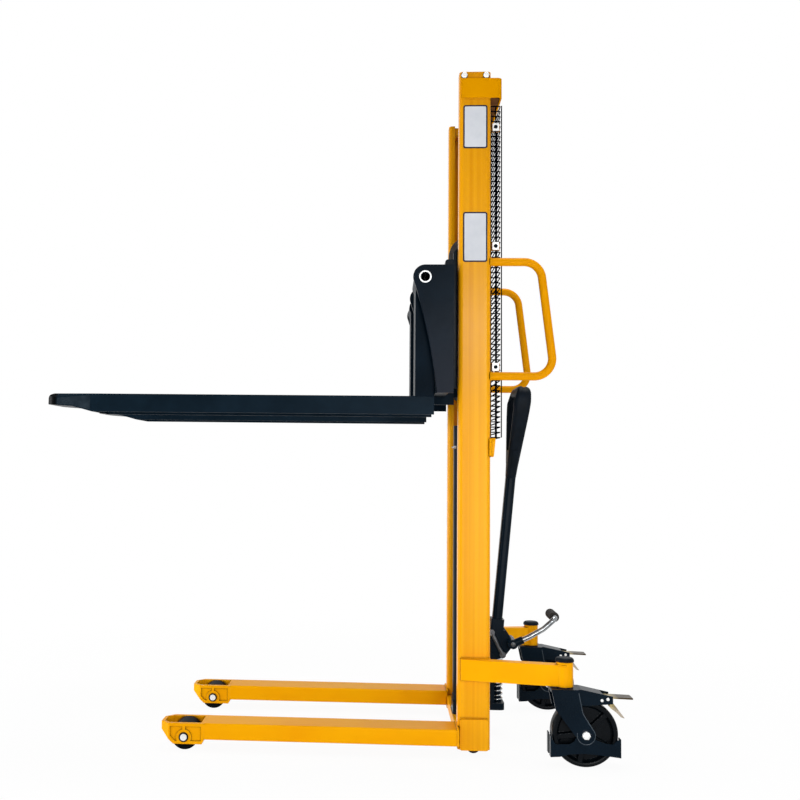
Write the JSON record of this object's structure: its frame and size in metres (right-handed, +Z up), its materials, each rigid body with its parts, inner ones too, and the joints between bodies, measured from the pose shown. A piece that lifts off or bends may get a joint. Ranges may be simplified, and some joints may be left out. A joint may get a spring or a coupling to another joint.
{
  "type": "hand pallet stacker",
  "caption": "Manual hydraulic pallet stacker: C-column mast, straddle legs, sliding forks on a chain-lifted carriage, tiller pump and braked casters.",
  "frame": {"origin": "on the floor, at the middle of the overall length and width", "axes": "+Z up, +X towards the operator, -X along the forks, -Y is the operator's left"},
  "size_m": [1.662, 0.75, 1.98],
  "materials": {
    "yellow_paint": "gloss powder coat",
    "black_paint": "satin powder coat",
    "mesh_wire": "dipped black",
    "zinc_steel": "zinc plated",
    "bare_steel": "oiled steel",
    "chrome_rod": "hard chrome",
    "black_plastic": "moulded nylon",
    "black_rubber": "matt"
  },
  "bodies": {
    "chassis": {"mast_column_left": "yellow_paint", "mast_column_right": "yellow_paint", "top_crossbeam": "yellow_paint", "rear_crossbar": "yellow_paint", "carriage_stop_blocks": "bare_steel", "stop_block_bolts": "zinc_steel", "guard_panel": "mesh_wire", "guard_returns": "mesh_wire", "guard_clamps": "zinc_steel", "grab_handles": "yellow_paint", "base_crossmember": "yellow_paint", "leg_left": "yellow_paint", "leg_right": "yellow_paint", "wheel_carrier_left": "yellow_paint", "wheel_carrier_right": "yellow_paint", "wheel_axles": "zinc_steel", "outrigger_arm_left": "yellow_paint", "outrigger_arm_right": "yellow_paint", "socket_caps": "black_plastic", "lift_cylinder": "black_paint", "pump_body": "black_paint", "return_spring": "zinc_steel"},
    "crosshead": {"piston_rod": "chrome_rod", "crosshead": "black_paint", "lift_chain_rear": "bare_steel"},
    "chain_sheave": {"chain_sheave": "bare_steel"},
    "carriage": {"carriage_upper_bar": "black_paint", "carriage_lower_bar": "black_paint", "carriage_cheeks": "black_paint", "fork_shaft": "black_paint", "roller_plates": "black_paint", "lift_chain_front": "bare_steel"},
    "tiller": {"tiller_rocker": "black_paint", "tiller_tube": "black_paint", "tiller_loop": "black_plastic", "pedal_arm": "zinc_steel", "pedal_pad": "black_rubber", "release_link": "zinc_steel"},
    "release_trigger": {"release_trigger": "black_plastic"},
    "plunger": {"pump_plunger": "zinc_steel"},
    "fork_left": {"fork_blade_left": "black_paint", "fork_shank_left": "black_paint"},
    "lower_roller_left": {"lower_roller_left": "bare_steel"},
    "upper_roller_left": {"upper_roller_left": "bare_steel"},
    "front_wheel_left": {"front_wheel_left": "black_plastic"},
    "support_roller_left": {"support_roller_left": "black_plastic"},
    "caster_left": {"caster_yoke_left": "black_paint", "toe_guard_left": "black_paint"},
    "caster_wheel_left": {"caster_wheel_left": "black_plastic"},
    "brake_pedal_left": {"brake_pedal_left": "zinc_steel"},
    "fork_right": {"fork_blade_right": "black_paint", "fork_shank_right": "black_paint"},
    "lower_roller_right": {"lower_roller_right": "bare_steel"},
    "upper_roller_right": {"upper_roller_right": "bare_steel"},
    "front_wheel_right": {"front_wheel_right": "black_plastic"},
    "support_roller_right": {"support_roller_right": "black_plastic"},
    "caster_right": {"caster_yoke_right": "black_paint", "toe_guard_right": "black_paint"},
    "caster_wheel_right": {"caster_wheel_right": "black_plastic"},
    "brake_pedal_right": {"brake_pedal_right": "zinc_steel"}
  },
  "joints": [
    {"name": "rod_lift", "type": "slide", "parent": "chassis", "child": "crosshead", "axis": [0, 0, 1], "range_m": [-0.4635, 0.293], "deforming": ["lift_chain_rear"]},
    {"name": "carriage_lift", "type": "slide", "parent": "crosshead", "child": "carriage", "axis": [0, 0, 1], "range_m": [-0.4635, 0.293], "deforming": ["lift_chain_front"]},
    {"name": "sheave_spin", "type": "hinge", "parent": "crosshead", "child": "chain_sheave", "pos_m": [0.405, 0, 1.4835], "axis": [0, 1, 0], "range_deg": [-515, 326]},
    {"name": "tiller_pump", "type": "hinge", "parent": "chassis", "child": "tiller", "pos_m": [0.471, 0, 0.232], "axis": [0, 1, 0], "range_deg": [0, 60], "stiffness_Nm_per_rad": 25, "springref_deg": -28.65},
    {"name": "plunger_stroke", "type": "slide", "parent": "chassis", "child": "plunger", "axis": [0, 0, 1], "range_m": [-0.0305, 0.0005], "deforming": ["return_spring"]},
    {"name": "trigger_squeeze", "type": "hinge", "parent": "tiller", "child": "release_trigger", "pos_m": [0.56397, 0, 1.0262], "axis": [0, -1, 0], "range_deg": [0, 20], "stiffness_Nm_per_rad": 1.5, "springref_deg": -17.19},
    {"name": "fork_left_slide", "type": "slide", "parent": "carriage", "child": "fork_left", "axis": [0, -1, 0], "range_m": [-0.162, 0.025]},
    {"name": "lower_roller_left_spin", "type": "hinge", "parent": "carriage", "child": "lower_roller_left", "pos_m": [0.405, -0.233, 1.075], "axis": [0, 1, 0], "range_deg": [-1350, 855]},
    {"name": "upper_roller_left_spin", "type": "hinge", "parent": "carriage", "child": "upper_roller_left", "pos_m": [0.405, -0.233, 1.31], "axis": [0, 1, 0], "range_deg": [-855, 1350]},
    {"name": "front_wheel_left_spin", "type": "hinge", "parent": "chassis", "child": "front_wheel_left", "pos_m": [-0.418, -0.24, 0.039], "axis": [0, 1, 0], "continuous": true},
    {"name": "support_roller_left_spin", "type": "hinge", "parent": "chassis", "child": "support_roller_left", "pos_m": [0.405, -0.235, 0.025], "axis": [0, 1, 0], "continuous": true},
    {"name": "caster_left_swivel", "type": "hinge", "parent": "chassis", "child": "caster_left", "pos_m": [0.65, -0.316, 0.24], "axis": [0, 0, 1], "continuous": true},
    {"name": "caster_left_roll", "type": "hinge", "parent": "caster_left", "child": "caster_wheel_left", "pos_m": [0.701, -0.316, 0.09], "axis": [0, 1, 0], "continuous": true},
    {"name": "brake_left_press", "type": "hinge", "parent": "caster_left", "child": "brake_pedal_left", "pos_m": [0.763, -0.316, 0.183], "axis": [0, 1, 0], "range_deg": [0, 16]},
    {"name": "fork_right_slide", "type": "slide", "parent": "carriage", "child": "fork_right", "axis": [0, 1, 0], "range_m": [-0.162, 0.025]},
    {"name": "lower_roller_right_spin", "type": "hinge", "parent": "carriage", "child": "lower_roller_right", "pos_m": [0.405, 0.233, 1.075], "axis": [0, 1, 0], "range_deg": [-1350, 855]},
    {"name": "upper_roller_right_spin", "type": "hinge", "parent": "carriage", "child": "upper_roller_right", "pos_m": [0.405, 0.233, 1.31], "axis": [0, 1, 0], "range_deg": [-855, 1350]},
    {"name": "front_wheel_right_spin", "type": "hinge", "parent": "chassis", "child": "front_wheel_right", "pos_m": [-0.418, 0.24, 0.039], "axis": [0, 1, 0], "continuous": true},
    {"name": "support_roller_right_spin", "type": "hinge", "parent": "chassis", "child": "support_roller_right", "pos_m": [0.405, 0.235, 0.025], "axis": [0, 1, 0], "continuous": true},
    {"name": "caster_right_swivel", "type": "hinge", "parent": "chassis", "child": "caster_right", "pos_m": [0.65, 0.316, 0.24], "axis": [0, 0, 1], "continuous": true},
    {"name": "caster_right_roll", "type": "hinge", "parent": "caster_right", "child": "caster_wheel_right", "pos_m": [0.701, 0.316, 0.09], "axis": [0, 1, 0], "continuous": true},
    {"name": "brake_right_press", "type": "hinge", "parent": "caster_right", "child": "brake_pedal_right", "pos_m": [0.763, 0.316, 0.183], "axis": [0, 1, 0], "range_deg": [0, 16]}
  ],
  "couplings": [
    {"joint": "carriage_lift", "follows": "rod_lift", "ratio": 1},
    {"joint": "sheave_spin", "follows": "rod_lift", "rad_per_m": 19.231},
    {"joint": "plunger_stroke", "follows": "tiller_pump", "m_per_rad": -0.028648},
    {"joint": "lower_roller_left_spin", "follows": "rod_lift", "rad_per_m": 50.633},
    {"joint": "upper_roller_left_spin", "follows": "rod_lift", "rad_per_m": -50.633},
    {"joint": "lower_roller_right_spin", "follows": "rod_lift", "rad_per_m": 50.633},
    {"joint": "upper_roller_right_spin", "follows": "rod_lift", "rad_per_m": -50.633}
  ]
}
